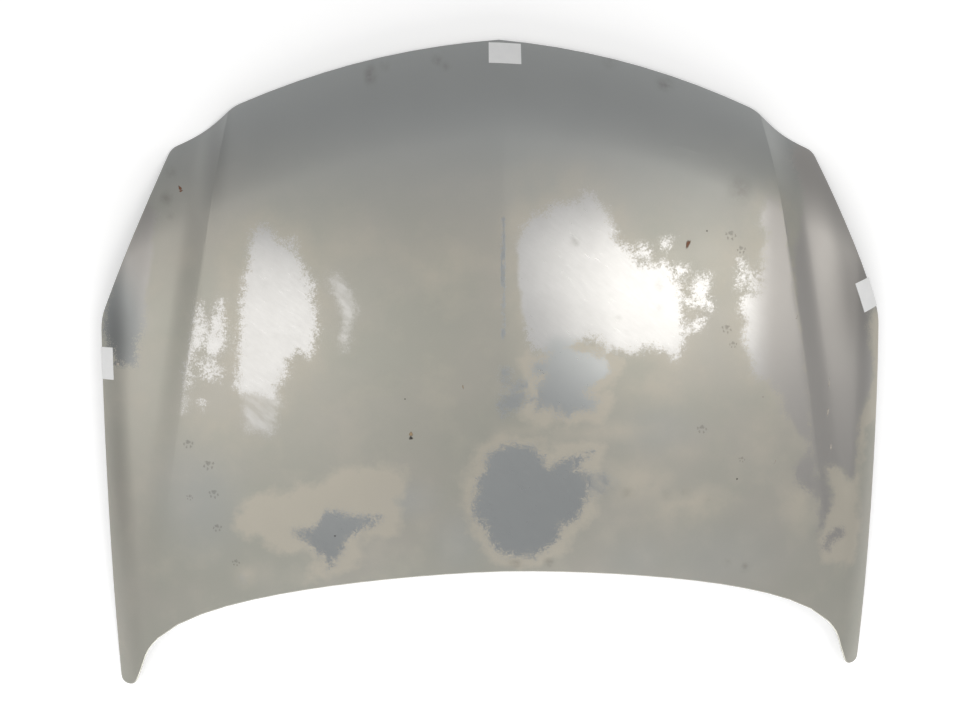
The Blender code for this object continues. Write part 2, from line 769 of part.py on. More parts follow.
def make_hinges(seat, group, parent, steel, zinc):
    """Reinforcement and two weld nuts on each hinge seat."""
    width, length = HINGE_SEAT_SIZE
    outline = box_outline(width - 2 * PLATE_MARGIN, length - 2 * PLATE_MARGIN)
    holes = [circle(HINGE_HOLE, 0, v) for v in pair(HINGE_HOLE_PITCH)]
    for side, word in ((-1, "left"), (1, "right")):
        name = f"hinge_reinforcement_{word}"
        made = plate(name, outline, holes, HINGE_PLATE, group, parent, steel)
        on_seat(made, seat, side, CLEARANCE + HINGE_PLATE / 2)
        for v, end in zip(pair(HINGE_HOLE_PITCH), ("rear", "front")):
            name = f"hinge_weld_nut_{word}_{end}"
            made = nut(name, M8_WIDTH, M8_HEIGHT, M8_SHANK, group, parent, zinc)
            on_seat(made, seat, side, HINGE_PLATE + 2 * CLEARANCE + M8_HEIGHT / 2, 0, v)


def make_stops(front, middle, group, parent):
    """Rubber stops pushed through round holes in the frame."""
    rubber = material("stop_rubber", (0.03, 0.03, 0.03), 0.8)
    foot = FRAME_UNDER - STOP_HEIGHT
    profile = (
        (0, CLEARANCE + BARB_HEIGHT),
        (STOP_NECK / 2 - BARB_TAPER, CLEARANCE + BARB_HEIGHT),
        (STOP_BARB / 2, CLEARANCE),
        (STOP_NECK / 2, CLEARANCE),
        (STOP_NECK / 2, FRAME_UNDER),
        (STOP_WIDTH / 2, FRAME_UNDER),
        (STOP_WIDTH / 2, foot + STOP_BEVEL),
        (STOP_WIDTH / 2 - STOP_BEVEL, foot),
        (0, foot),
    )
    for seat, row in ((front, "front"), (middle, "side")):
        for side, word in ((-1, "left"), (1, "right")):
            made = turned(f"bump_stop_{row}_{word}", profile, group, parent, rubber)
            on_seat(made, seat, side, 0)


def make_socket(seat, group, parent):
    """Plastic socket that takes the end of the prop rod."""
    plastic = material("socket_plastic", (0.05, 0.05, 0.05), 0.5)
    foot = FRAME_UNDER - SOCKET_FLANGE
    profile = (
        (0, SOCKET_HEIGHT),
        (SOCKET_BARREL / 2 - SOCKET_BEVEL, SOCKET_HEIGHT),
        (SOCKET_BARREL / 2, SOCKET_HEIGHT - SOCKET_BEVEL),
        (SOCKET_BARREL / 2, FRAME_UNDER),
        (SOCKET_WIDTH / 2, FRAME_UNDER),
        (SOCKET_WIDTH / 2, foot),
        (SOCKET_BORE / 2 + SOCKET_BEVEL, foot),
        (SOCKET_BORE / 2, foot + SOCKET_BEVEL),
        (SOCKET_BORE / 2, SOCKET_HEIGHT - SOCKET_FLOOR),
        (0, SOCKET_HEIGHT - SOCKET_FLOOR),
    )
    made = turned("prop_rod_socket", profile, group, parent, plastic)
    on_seat(made, seat, -1, 0)


def make_mastic(windows, group, parent):
    """Mastic dabs between the window rims and the skin."""
    mastic = material("mastic", (0.55, 0.53, 0.48), 0.9)
    height = RIM_DEPTH - SKIN_THICKNESS - 2 * DAB_GAP
    depth = SKIN_THICKNESS + DAB_GAP + height / 2
    places = []
    for window, shares in windows:
        ring = window.ring(RIM_WIDTH / 2)
        for share in shares:
            x, y = ring[round(share * (len(ring) - 1))]
            places += [(-x, y), (x, y)]
    for number, (x, y) in enumerate(places, 1):
        mesh = bpy.data.meshes.new(f"mastic_dab_{number:02d}")
        dab = bmesh.new()
        bmesh.ops.create_cone(dab, cap_ends=True, segments=8, depth=height,
                              radius1=DAB_WIDTH / 2, radius2=DAB_WIDTH / 2)
        dab.to_mesh(mesh)
        dab.free()
        made = add(mesh.name, mesh, group, parent, mastic)
        turn = normal(x, y).to_track_quat("Z", "Y").to_matrix().to_4x4()
        made.matrix_local = Matrix.Translation(below(x, y, depth)) @ turn


def settle(skin, parent):
    """Lower the panel until it rests on the floor, centred over the origin."""
    bpy.context.view_layer.update()
    evaluated = skin.evaluated_get(bpy.context.evaluated_depsgraph_get())
    mesh = evaluated.to_mesh()
    ys = [vertex.co.y for vertex in mesh.vertices]
    lowest = min(vertex.co.z for vertex in mesh.vertices)
    parent.location = (0, -(min(ys) + max(ys)) / 2, -lowest)
    evaluated.to_mesh_clear()


def main():
    """Build the bonnet."""
    for old in list(bpy.data.objects):
        bpy.data.objects.remove(old)
    pieces = collection("car_bonnet")
    cutters = collection("cutters")
    rest = add("bonnet_rest", None, pieces, None)
    steel = material("reinforcement_steel", (0.33, 0.33, 0.32), 0.5, 0.6)
    zinc = material("zinc_plate", (0.55, 0.55, 0.53), 0.4, 0.9)
    outline = half_outline()
    rear_centre = Window(REAR_CENTRE_WINDOW)
    front_centre = Window(FRONT_CENTRE_WINDOW)
    front_side = Window(FRONT_SIDE_WINDOW)
    rear_side = Window(REAR_SIDE_WINDOW)
    flats = seats()
    skin = make_skin(outline, pieces, rest)
    make_frame(outline, (rear_centre, front_centre, front_side, rear_side), flats,
               pieces, rest)
    make_latch(flats["latch"], pieces, cutters, rest, steel, zinc)
    make_hinges(flats["hinge"], pieces, rest, steel, zinc)
    make_stops(flats["front_stop"], flats["side_stop"], pieces, rest)
    make_socket(flats["socket"], pieces, rest)
    make_mastic(((rear_centre, REAR_CENTRE_DABS), (front_centre, FRONT_CENTRE_DABS),
                 (front_side, FRONT_SIDE_DABS), (rear_side, REAR_SIDE_DABS)),
                pieces, rest)
    settle(skin, rest)


main()
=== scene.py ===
import math

import bpy
import numpy as np
from mathutils import Euler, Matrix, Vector


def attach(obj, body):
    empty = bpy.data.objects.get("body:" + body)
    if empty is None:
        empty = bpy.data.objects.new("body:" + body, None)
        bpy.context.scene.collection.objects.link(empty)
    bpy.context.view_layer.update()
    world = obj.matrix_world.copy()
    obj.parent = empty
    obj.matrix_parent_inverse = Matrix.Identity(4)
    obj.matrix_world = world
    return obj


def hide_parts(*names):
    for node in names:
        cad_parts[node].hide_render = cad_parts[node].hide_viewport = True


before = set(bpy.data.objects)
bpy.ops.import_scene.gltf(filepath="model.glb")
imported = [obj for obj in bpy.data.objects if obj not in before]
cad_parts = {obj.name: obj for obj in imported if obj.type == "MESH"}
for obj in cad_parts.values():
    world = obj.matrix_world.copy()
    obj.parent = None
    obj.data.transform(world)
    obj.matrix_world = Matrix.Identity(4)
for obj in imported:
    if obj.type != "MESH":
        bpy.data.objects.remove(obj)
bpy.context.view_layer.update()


# Outer skin
# One pressed steel sheet, crowned both ways, creased along both sides and rolled over at
# the nose and the flanks. Its silver paint has gone chalky and beige, and shows bright metal
# only in ragged patches. A copy of the CAD sheet carries them, its outer face divided finely.

LENGTH = 1.200
NOTCH_WIDTH = 0.952
WAIST_WIDTH = 1.443
NOSE_Y = LENGTH / 2
NOSE_SWEEP = 0.118
NOSE_VEE = 0.073
CROWN_Y = -0.030
REAR_CROWN_RADIUS = 3.6
FRONT_CROWN_RADIUS = 2.2
CROSS_CROWN_RADIUS = 2.8
NOSE_ROLL_LENGTH = 0.180
NOSE_ROLL_RADIUS = 0.45
SIDE_ROLL_WIDTH = 0.058
SIDE_ROLL_RADIUS = 0.12
CREASE_X = 0.484
CREASE_SLOPE = 0.135
CREASE_BOW = 0.045
CREASE_REAR_Y = -0.430
SWAGE_DROP = 0.014
SWAGE_WIDTH = 0.050
SWAGE_RISE = 0.004
SWAGE_RISE_WIDTH = 0.060
RIDGE_HEIGHT = 0.004
RIDGE_WIDTH = 0.150
RIDGE_REAR_Y = -0.230
NOTCH_Y = NOSE_Y - NOSE_SWEEP
RAKE = -0.01161
REST_Y = 0.00029
REST_Z = 0.14967

CAMERA_PLACE = (-0.1455, 0.2461, 1.8157)
CAMERA_TURN = (-0.12551, -0.06081, -0.00928)
CAMERA_ORDER = "ZYX"
CAMERA_AXES = np.array(Euler(CAMERA_TURN, CAMERA_ORDER).to_matrix()).T
CAMERA_RIGHT, CAMERA_UP, CAMERA_BACK = CAMERA_AXES
PICTURE_WIDTH = 960
PICTURE_HEIGHT = 720
FOCAL_PIXELS = 970
SEEK_STEPS = 12
FAR_OFF = 9.0


def ramp(value):
    """The value kept between none and one."""
    return np.clip(value, 0, 1)


def ease(value):
    """A soft step from none to one."""
    value = ramp(value)
    return value * value * (3 - 2 * value)


def skin_height(x, y):
    """Height of the skin's outer face above the floor."""
    y = y - REST_Y
    x = np.abs(x)
    half_notch = NOTCH_WIDTH / 2
    nose_bow = (NOSE_SWEEP - NOSE_VEE * half_notch) / half_notch ** 2
    radius = np.where(y > CROWN_Y, FRONT_CROWN_RADIUS, REAR_CROWN_RADIUS)
    height = -((y - CROWN_Y) ** 2) / (2 * radius) - x ** 2 / (2 * CROSS_CROWN_RADIUS)
    behind_nose = NOSE_Y - NOSE_VEE * x - nose_bow * x ** 2 - y
    height -= np.maximum(0, NOSE_ROLL_LENGTH - behind_nose) ** 2 / (2 * NOSE_ROLL_RADIUS)
    rolled = np.maximum(0, x - (WAIST_WIDTH / 2 - SIDE_ROLL_WIDTH))
    height -= rolled ** 2 / (2 * SIDE_ROLL_RADIUS)
    behind_notch = NOTCH_Y - y
    past = x - (CREASE_X + CREASE_SLOPE * behind_notch + CREASE_BOW * behind_notch ** 2)
    fade = ramp((y - CREASE_REAR_Y) / (NOTCH_Y - CREASE_REAR_Y))
    share = ramp(past / SWAGE_WIDTH)
    height -= SWAGE_DROP * fade * (0.5 * (1 - (1 - share) ** 2) + 0.5 * ease(share))
    height += SWAGE_RISE * fade * ease((past - SWAGE_WIDTH) / SWAGE_RISE_WIDTH)
    rear_fade = ramp((y - RIDGE_REAR_Y) / (NOTCH_Y - RIDGE_REAR_Y))
    height += RIDGE_HEIGHT * rear_fade * ramp(1 - x / RIDGE_WIDTH) ** 2
    return height + RAKE * y + REST_Z


def on_skin(outline):
    """Plan places on the skin of points given as pixels of the photographed view."""
    pixels = np.array(outline, float)
    across = (pixels[:, 0] - PICTURE_WIDTH / 2) / FOCAL_PIXELS
    up = (PICTURE_HEIGHT / 2 - pixels[:, 1]) / FOCAL_PIXELS
    ways = across[:, None] * CAMERA_RIGHT + up[:, None] * CAMERA_UP - CAMERA_BACK
    places = np.array(CAMERA_PLACE) + ways
    for _ in range(SEEK_STEPS):
        height = skin_height(places[:, 0], places[:, 1])
        places += ways * ((height - places[:, 2]) / ways[:, 2])[:, None]
    return places[:, :2]


def outline_depth(points, outline):
    """How far inside a closed plan outline each point lies, less than nothing outside."""
    corners = on_skin(outline)
    nearest = np.full(len(points), FAR_OFF)
    within = np.zeros(len(points), bool)
    for start, end in zip(corners, np.roll(corners, -1, axis=0)):
        side = end - start
        offset = points - start
        share = ramp(offset @ side / max(side @ side, 1e-12))
        nearest = np.minimum(nearest, np.hypot(*(offset - share[:, None] * side).T))
        crosses = (start[1] > points[:, 1]) != (end[1] > points[:, 1])
        if abs(side[1]) > 1e-12:
            crossing = start[0] + (points[:, 1] - start[1]) / side[1] * side[0]
            within ^= crosses & (points[:, 0] < crossing)
    return np.where(within, nearest, -nearest)


def deepest(points, outlines):
    """How far inside the nearest of several outlines each point lies."""
    return np.max([outline_depth(points, outline) for outline in outlines], axis=0)


def line_depth(points, line, half_width):
    """How far inside a band along an open plan line each point lies."""
    corners = on_skin(line)
    nearest = np.full(len(points), FAR_OFF)
    for start, end in zip(corners, corners[1:]):
        side = end - start
        offset = points - start
        share = ramp(offset @ side / max(side @ side, 1e-12))
        nearest = np.minimum(nearest, np.hypot(*(offset - share[:, None] * side).T))
    return half_width - nearest


def blot(points, pixel_x, pixel_y, radius_x, radius_y):
    """Soft round spot, one in its middle and nothing beyond its edge."""
    centre, side, top = on_skin(
        [(pixel_x, pixel_y), (pixel_x + radius_x, pixel_y), (pixel_x, pixel_y - radius_y)])
    reach = (points - centre) / (side[0] - centre[0], top[1] - centre[1])
    return ease(1 - np.hypot(*reach.T))


def blots(points, spots):
    """The strongest of several blots at each point."""
    strength = np.zeros(len(points))
    for spot in spots:
        strength = np.maximum(strength, blot(points, *spot[:4]) * spot[4])
    return strength


# Outlines of the bare patches, in pixels of the photographed view.
BRIGHT_RIGHT = [
    (518, 242), (522, 226), (532, 214), (548, 214), (550, 205), (560, 203), (580, 200), (583, 192),
    (594, 193), (597, 203), (607, 212), (612, 227), (617, 240), (626, 246), (634, 257), (639, 266),
    (652, 265), (666, 262), (674, 275), (681, 288), (681, 307), (684, 327), (683, 342), (676, 360),
    (665, 351), (648, 347), (630, 352), (607, 349), (596, 336), (574, 344), (556, 353), (531, 350),
    (524, 327), (519, 281)]
TAIL_RIGHT = [
    (558, 346), (548, 359), (532, 366), (533, 375), (546, 375), (536, 390), (537, 399), (534, 412),
    (548, 409), (567, 414), (593, 410), (600, 401), (586, 396), (582, 390), (596, 383), (613, 370),
    (602, 359), (578, 350)]
ISLANDS_RIGHT = [
    [(639, 246), (650, 250), (648, 262), (640, 258)],
    [(663, 242), (670, 240), (669, 246), (664, 247)],
    [(678, 267), (686, 267), (686, 275), (678, 276)],
    [(693, 284), (698, 277), (709, 275), (707, 290), (700, 303), (694, 298)],
    [(685, 333), (690, 324), (706, 318), (703, 325), (692, 332)],
    [(684, 299), (690, 301), (701, 296), (711, 303), (712, 310), (705, 304), (690, 308)]]
SPECKS_RIGHT = [
    [(740, 256), (743, 267), (750, 271), (760, 272), (759, 278), (748, 279), (743, 287), (736, 288),
     (737, 280), (741, 275), (738, 266)],
    [(748, 284), (760, 280), (762, 292), (750, 293)],
    [(504, 370), (510, 372), (509, 386), (504, 385)],
    [(501, 398), (510, 395), (530, 402), (504, 416)],
    [(515, 383), (526, 384), (525, 388), (515, 389)]]
ISLANDS_BLUE = [
    [(503, 370), (509, 371), (509, 380), (504, 384)],
    [(500, 399), (506, 394), (521, 394), (530, 399), (517, 405), (509, 407), (506, 416), (501, 409)],
    [(515, 383), (525, 381), (526, 387), (516, 389)]]
STRIP_RIGHT = [
    (778, 199), (768, 199), (763, 213), (761, 226), (768, 234), (764, 249), (762, 267), (761, 284),
    (760, 293), (751, 296), (742, 298), (741, 308), (745, 323), (744, 336), (747, 352), (753, 363),
    (753, 373), (760, 380), (769, 381), (778, 395), (785, 412), (794, 426), (801, 434), (809, 444),
    (804, 457), (795, 468), (797, 480), (806, 487), (816, 498), (819, 505), (820, 500), (817, 480),
    (812, 440), (806, 389), (801, 334), (797, 308), (794, 278), (788, 241)]
FLANK_RIGHT = [
    (812, 140), (796, 145), (792, 160), (797, 171), (803, 189), (804, 210), (801, 223), (797, 240),
    (794, 255), (795, 270), (797, 308), (801, 334), (806, 389), (812, 440), (817, 480), (819, 503),
    (819, 521), (820, 534), (825, 521), (826, 514), (830, 507), (831, 496), (828, 480), (826, 466),
    (834, 464), (845, 471), (851, 480), (856, 466), (856, 451), (858, 434), (860, 416), (865, 403),
    (870, 391), (872, 378), (872, 358), (868, 348), (870, 330), (866, 328), (871, 311), (884, 308),
    (860, 230), (806, 138)]
ARROW_RIGHT = [
    (822, 550), (826, 535), (836, 528), (842, 528), (843, 535), (833, 541), (827, 550)]
BRIGHT_LEFT = [
    (253, 231), (263, 227), (270, 231), (275, 240), (286, 245), (294, 240), (296, 255), (302, 268),
    (306, 278), (312, 283), (311, 296), (315, 308), (316, 341), (308, 356), (298, 349), (288, 361),
    (286, 372), (278, 384), (274, 399), (241, 391), (237, 384), (240, 349), (240, 316), (244, 283),
    (248, 266), (250, 246)]
CLUSTER_LEFT = [
    [(221, 301), (224, 321), (222, 348), (216, 356), (208, 357), (205, 347), (209, 337), (211, 321),
     (214, 314)],
    [(199, 302), (202, 314), (200, 330), (203, 346), (195, 348), (190, 366), (187, 400), (184, 410),
     (188, 366), (194, 330)]]
SPECKS_LEFT = [
    [(199, 315), (209, 322), (208, 345), (198, 344)],
    [(197, 361), (212, 359), (221, 368), (218, 380), (206, 381)],
    [(200, 402), (204, 404), (202, 408)]]
FLANK_LEFT = [
    (157, 210), (154, 237), (152, 254), (147, 293), (144, 321), (141, 337), (137, 346), (136, 364),
    (126, 365), (115, 362), (113, 350), (107, 346), (104, 331), (104, 310), (124, 249), (147, 200)]
BLOB_REAR = [
    (485, 463), (490, 453), (500, 448), (513, 445), (526, 447), (536, 450), (543, 458), (549, 468),
    (561, 461), (577, 455), (592, 453), (586, 460), (574, 470), (586, 473), (592, 480), (586, 488),
    (586, 497), (582, 508), (576, 519), (561, 526), (558, 539), (539, 553), (523, 557),
    (503, 554), (490, 543), (486, 529), (475, 516), (473, 503), (478, 488), (480, 480), (486, 471)]
TRIANGLE_REAR = [
    (294, 532), (316, 527), (327, 510), (346, 514), (381, 520), (364, 529), (346, 538), (340, 555),
    (329, 569), (324, 555), (307, 544)]
FAINT_ARC = [
    (326, 278), (337, 271), (351, 288), (356, 308), (352, 333), (344, 351), (337, 341), (344, 319),
    (336, 303)]
FAINT_TAIL = [
    (238, 372), (284, 372), (280, 390), (282, 400), (278, 416), (273, 436), (246, 433), (243, 410)]
FAINT_LOBE = [
    (582, 470), (596, 470), (606, 474), (617, 483), (607, 493), (591, 497), (584, 490)]
HALO_REAR = [
    (235, 529), (239, 510), (254, 495), (280, 492), (302, 484), (328, 486), (335, 471), (372, 466),
    (403, 470), (405, 484), (398, 501), (403, 520), (398, 534), (379, 536), (359, 544), (363, 560),
    (352, 568), (333, 577), (305, 584), (307, 568), (322, 558), (305, 551), (280, 553), (261, 540),
    (243, 536)]
BEIGE_RIGHT = [
    (871, 311), (866, 328), (870, 330), (868, 348), (872, 358), (872, 378), (870, 391), (865, 403),
    (860, 416), (858, 434), (856, 451), (856, 466), (851, 480), (845, 471), (834, 464), (826, 466),
    (828, 480), (831, 496), (830, 507), (826, 514), (825, 521), (820, 534), (819, 545), (822, 562),
    (850, 562), (858, 540), (858, 500), (860, 458), (866, 430), (880, 420), (884, 311)]
# Each blot is its middle's pixel, its two radii in pixels, and its strength.
BEIGE_BLOTS = [
    (690, 505, 62, 30, 0.9), (686, 454, 34, 18, 0.6), (640, 480, 50, 36, 0.8), (800, 490, 26, 66, 0.9),
    (765, 425, 30, 50, 0.6), (440, 268, 48, 40, 0.5), (600, 432, 70, 16, 0.8), (520, 432, 40, 16, 0.7),
    (243, 576, 18, 19, 0.9), (345, 235, 50, 40, 0.3), (560, 180, 90, 30, 0.35), (722, 260, 34, 60, 0.5),
    (650, 385, 90, 34, 0.5), (215, 420, 50, 60, 0.35), (226, 300, 18, 80, 0.5), (440, 380, 40, 60, 0.25)]
COOL_BLOTS = [
    (243, 577, 6, 7, 1.0), (400, 500, 60, 30, 0.5), (200, 500, 70, 90, 0.5), (660, 430, 60, 40, 0.3),
    (720, 560, 110, 60, 0.3), (460, 540, 40, 50, 0.4), (640, 560, 60, 40, 0.3), (720, 200, 60, 70, 0.3)]
SMOOTH_BLOTS = [
    (518, 290, 22, 90, 1.5), (565, 352, 26, 14, 1.2), (600, 372, 26, 22, 1.0),
    (345, 312, 18, 60, 0.7), (260, 410, 40, 30, 0.9), (850, 400, 40, 120, 0.5),
    (800, 360, 14, 160, 1.3), (330, 530, 40, 40, 0.5), (150, 260, 20, 70, 1.2)]
RIDGE_LINE = [(503, 218), (503, 244), (503, 300), (503, 338)]
RIDGE_SILVER = 0.0035
# Painted shade: darker paint over the middle of the panel, beside the creases at the nose and along the
# lower left roll. Beside the right crease it is partly a real dirt smear.
PAINTED_SHADE_AND_DIRT_BLOTS = [
    (440, 450, 260, 330, 0.13), (214, 150, 20, 80, 0.26), (786, 165, 18, 80, 0.16),
    (120, 480, 18, 120, 0.16)]
# Painted shade on the bare metal of both flanks: darker metal that stands in for a dark reflection where
# the panel rolls away from the lights.
PAINTED_DARK_REFLECTION_BLOTS = [(118, 340, 44, 90, 0.42), (852, 300, 34, 80, 0.26)]
HALO_REACH = 0.022
WARM_REACH = 0.060
WARM_SHARE = 0.45
NOSE_COOL_START = 0.20
NOSE_COOL_FADE = 0.28
BLUE_FADE = 0.03
# Painted shade: the left flank's bare metal turned to the darker blue silver.
FLANK_PAINTED_SHADE_BLOTS = [(116, 335, 48, 100, 1.6)]
DULL_RIGHT_START = 0.43
DULL_LEFT_START = 0.56
DULL_FADE = 0.07
SMUDGES = [
    (575, 241, 6, 7, 0.9), (660, 285, 5, 9, 0.6), (659, 307, 4, 5, 0.6), (618, 319, 8, 6, 0.4),
    (478, 346, 5, 3, 0.6), (370, 75, 9, 16, 0.8), (384, 66, 8, 8, 0.5), (437, 60, 8, 8, 0.7),
    (446, 66, 6, 8, 0.5), (665, 84, 12, 10, 0.8), (690, 76, 10, 6, 0.6), (610, 62, 12, 10, 0.4),
    (515, 564, 10, 6, 1.0), (549, 563, 8, 7, 1.0), (171, 172, 8, 8, 0.8), (166, 198, 9, 11, 0.7),
    (170, 216, 6, 6, 0.5), (740, 190, 18, 22, 0.6), (628, 493, 10, 8, 0.5), (666, 495, 7, 6, 0.35),
    (686, 492, 8, 6, 0.35), (708, 499, 7, 5, 0.3), (745, 567, 6, 5, 0.9), (727, 562, 6, 5, 0.5)]

SKIN_MERGE = 0.00001
OUTER_FACE_GAP = 0.00025
OUTER_FACE_RISE = 0.3
SKIN_CUTS = 7
SKIN_SMOOTH_ANGLE = math.radians(4)

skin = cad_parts["outer_skin"].copy()
skin.data = skin.data.copy()
skin.name = "skin_divided"
bpy.context.scene.collection.objects.link(skin)
bpy.ops.object.select_all(action="DESELECT")
bpy.context.view_layer.objects.active = skin
skin.select_set(True)
bpy.ops.object.mode_set(mode="EDIT")
bpy.ops.mesh.select_all(action="SELECT")
bpy.ops.mesh.remove_doubles(threshold=SKIN_MERGE)
bpy.ops.mesh.select_all(action="DESELECT")
bpy.ops.object.mode_set(mode="OBJECT")

skin_mesh = skin.data
for face in skin_mesh.polygons:
    gaps = [abs(skin_mesh.vertices[i].co.z - float(skin_height(*skin_mesh.vertices[i].co.xy)))
            for i in face.vertices]
    face.select = face.normal.z > OUTER_FACE_RISE and max(gaps) < OUTER_FACE_GAP
bpy.ops.object.mode_set(mode="EDIT")
bpy.ops.mesh.select_mode(type="FACE")
bpy.ops.mesh.subdivide(number_cuts=SKIN_CUTS)
bpy.ops.object.mode_set(mode="OBJECT")
outer = np.zeros(len(skin_mesh.vertices), bool)
for face in skin_mesh.polygons:
    if face.select:
        outer[list(face.vertices)] = True
places = np.empty(len(skin_mesh.vertices) * 3)
skin_mesh.vertices.foreach_get("co", places)
places = places.reshape(-1, 3)
places[outer, 2] = skin_height(places[outer, 0], places[outer, 1])
skin_mesh.vertices.foreach_set("co", places.ravel())
skin_mesh.update()
bpy.ops.object.shade_smooth_by_angle(angle=SKIN_SMOOTH_ANGLE)


plan = places[:, :2]
lit_patches = [BRIGHT_RIGHT, *ISLANDS_RIGHT, STRIP_RIGHT, FLANK_RIGHT, BRIGHT_LEFT, *CLUSTER_LEFT,
               FLANK_LEFT]
blue_patches = [TAIL_RIGHT, BLOB_REAR, TRIANGLE_REAR, *ISLANDS_BLUE]
silver_depth = deepest(plan, [*lit_patches, *blue_patches, ARROW_RIGHT])
speck_depth = deepest(plan, [*SPECKS_RIGHT, *SPECKS_LEFT])
faint_depth = deepest(plan, [FAINT_ARC, FAINT_TAIL, FAINT_LOBE])
ridge_depth = line_depth(plan, RIDGE_LINE, RIDGE_SILVER)
halo_depth = deepest(plan, [TAIL_RIGHT, BLOB_REAR]) + HALO_REACH
halo_depth = np.maximum(halo_depth, deepest(plan, [HALO_REAR, BEIGE_RIGHT]))
halo = ease((deepest(plan, [BRIGHT_RIGHT, BRIGHT_LEFT, STRIP_RIGHT]) + WARM_REACH) / WARM_REACH)
halo *= WARM_SHARE
halo = np.maximum(halo, blots(plan, BEIGE_BLOTS))
cool = ease((plan[:, 1] - NOSE_COOL_START) / NOSE_COOL_FADE)
cool = np.maximum(cool, blots(plan, COOL_BLOTS))
blue_places = [*blue_patches, FAINT_LOBE, *SPECKS_RIGHT[2:]]
blue_metal_and_painted_shade = ease((deepest(plan, blue_places) + BLUE_FADE) / BLUE_FADE)
blue_metal_and_painted_shade = np.maximum(blue_metal_and_painted_shade, ridge_depth > -RIDGE_SILVER)
# The blue silver of the rear patches and the ridge, and on the left flank painted shade.
blue_metal_and_painted_shade = np.maximum(blue_metal_and_painted_shade, blots(plan, FLANK_PAINTED_SHADE_BLOTS))
dull_right = ease((plan[:, 0] - DULL_RIGHT_START) / DULL_FADE)
dull_left = ease((-plan[:, 0] - DULL_LEFT_START) / DULL_FADE)
skin_fields = {
    "silver_depth": silver_depth, "speck_depth": speck_depth, "faint_depth": faint_depth,
    "ridge_depth": ridge_depth, "halo": halo, "halo_depth": halo_depth, "cool": cool,
    "shade": blots(plan, PAINTED_SHADE_AND_DIRT_BLOTS), "smudge": blots(plan, SMUDGES),
    "blue_metal_and_painted_shade": blue_metal_and_painted_shade, "smooth_edge": blots(plan, SMOOTH_BLOTS),
    "dull_metal": np.maximum(dull_right, dull_left),
    "painted_dark_reflection": blots(plan, PAINTED_DARK_REFLECTION_BLOTS), "outer_face": outer.astype(float)}
for name, values in skin_fields.items():
    layer = skin_mesh.attributes.new(name, "FLOAT", "POINT")
    layer.data.foreach_set("value", values.astype(np.float32))


def new_material(name):
    """A material with shader nodes, and its node tree."""
    material = bpy.data.materials.new(name)
    material.use_nodes = True
    return material, material.node_tree


def shader_of(tree):
    """The tree's Principled BSDF."""
    return next(part for part in tree.nodes if part.type == "BSDF_PRINCIPLED")


def node(tree, kind, inputs=(), **settings):
    """Add a shader node. Inputs are numbers, colours or other nodes' outputs, by socket."""
    made = tree.nodes.new("ShaderNode" + kind)
    for name, value in settings.items():
        setattr(made, name, value)
    for socket, value in dict(inputs).items():
        if isinstance(value, bpy.types.NodeSocket):
            tree.links.new(value, made.inputs[socket])
        else:
            made.inputs[socket].default_value = value
    return made


def calc(tree, operation, first, second=0.0, third=0.0, clamp=False):
    """One Math node's output."""
    return node(tree, "Math", {0: first, 1: second, 2: third},
                operation=operation, use_clamp=clamp).outputs[0]


def noise(tree, scale, detail=2.0, roughness=0.5, stretch=(1, 1, 1), turn=0.0):
    """Noise in metres on the object, stretched along one way where asked."""
    coordinates = node(tree, "TexCoord").outputs["Object"]
    mapping = node(tree, "Mapping", {"Vector": coordinates, "Rotation": (0, 0, turn),
                                     "Scale": stretch}, vector_type="TEXTURE").outputs[0]
    return node(tree, "TexNoise", {"Vector": mapping, "Scale": scale, "Detail": detail,
                                   "Roughness": roughness}).outputs[0]


def wander(tree, scale, spread, detail, roughness):
    """Noise centred on nothing, so many metres from end to end."""
    return calc(tree, "MULTIPLY_ADD", noise(tree, scale, detail, roughness), spread, -spread / 2)


def between(tree, value, low, high, to_low=0.0, to_high=1.0):
    """The value's range from low to high, mapped to another range and held to its ends."""
    return node(tree, "MapRange", {0: value, 1: low, 2: high, 3: to_low, 4: to_high}).outputs[0]


def mixed(tree, share, first, second, blend="MIX"):
    """Two colours mixed by share."""
    made = node(tree, "Mix", {0: share, 6: first, 7: second}, data_type="RGBA", blend_type=blend)
    return made.outputs[2]


def field(tree, name):
    """A value stored on the mesh's points."""
    return node(tree, "Attribute", attribute_name=name).outputs["Fac"]


PAINT_MID = (0.428, 0.410, 0.362, 1)
PAINT_BEIGE = (0.520, 0.482, 0.405, 1)
PAINT_COOL = (0.392, 0.402, 0.396, 1)
PAINT_GREEN = (0.398, 0.392, 0.342, 1)
SILVER = (0.520, 0.515, 0.505, 1)
SILVER_DULL = (0.450, 0.445, 0.435, 1)
SILVER_FLANK = (0.430, 0.412, 0.390, 1)
SILVER_BLUE = (0.410, 0.421, 0.416, 1)
DIRT = (0.14, 0.125, 0.10, 1)
BLACK = (0, 0, 0, 1)
GRIT_LIGHT = (0.75, 0.75, 0.75, 1)
GRIT_SCALE = 900
GRIT_SHARE = 0.08
RAGGED_SCALE = 38
RAGGED_SPREAD = 0.024
TORN_SCALE = 150
TORN_SPREAD = 0.044
GRAIN_SCALE = 460
GRAIN_SPREAD = 0.072
CALM_EDGE = 0.1
SHARP_EDGE_WIDTH = 0.0006
SOFT_EDGE_WIDTH = 0.0045
SPECK_SCALE = 135
FRINGE_SCALE = 330
FRINGE_REACH = 0.016
RIDGE_TEAR = 0.35
FAINT_LEAST = 0.30
FAINT_MOST = 0.75
BRUSH_SCALE = 60
RING_SCALE = 30
RING_SPREAD = 0.060
RING_SHARE = 0.85
MOTTLE_SCALE = 5.5
CLOUD_SCALE = 16
CLOUD_SHARE = 0.30
SMUDGE_SCALE = 60
SCRATCH_SCALE = 190
SCRATCH_TURN = math.radians(-38)
WORN_METAL_SCALE = 22
PAINT_METALLIC = 0.5
BARE_METALLIC = 0.85
MATT_LEAST = 0.41
MATT_MOST = 0.46
SATIN_LEAST = 0.27
SATIN_MOST = 0.31
DULL_ROUGHNESS = 0.15

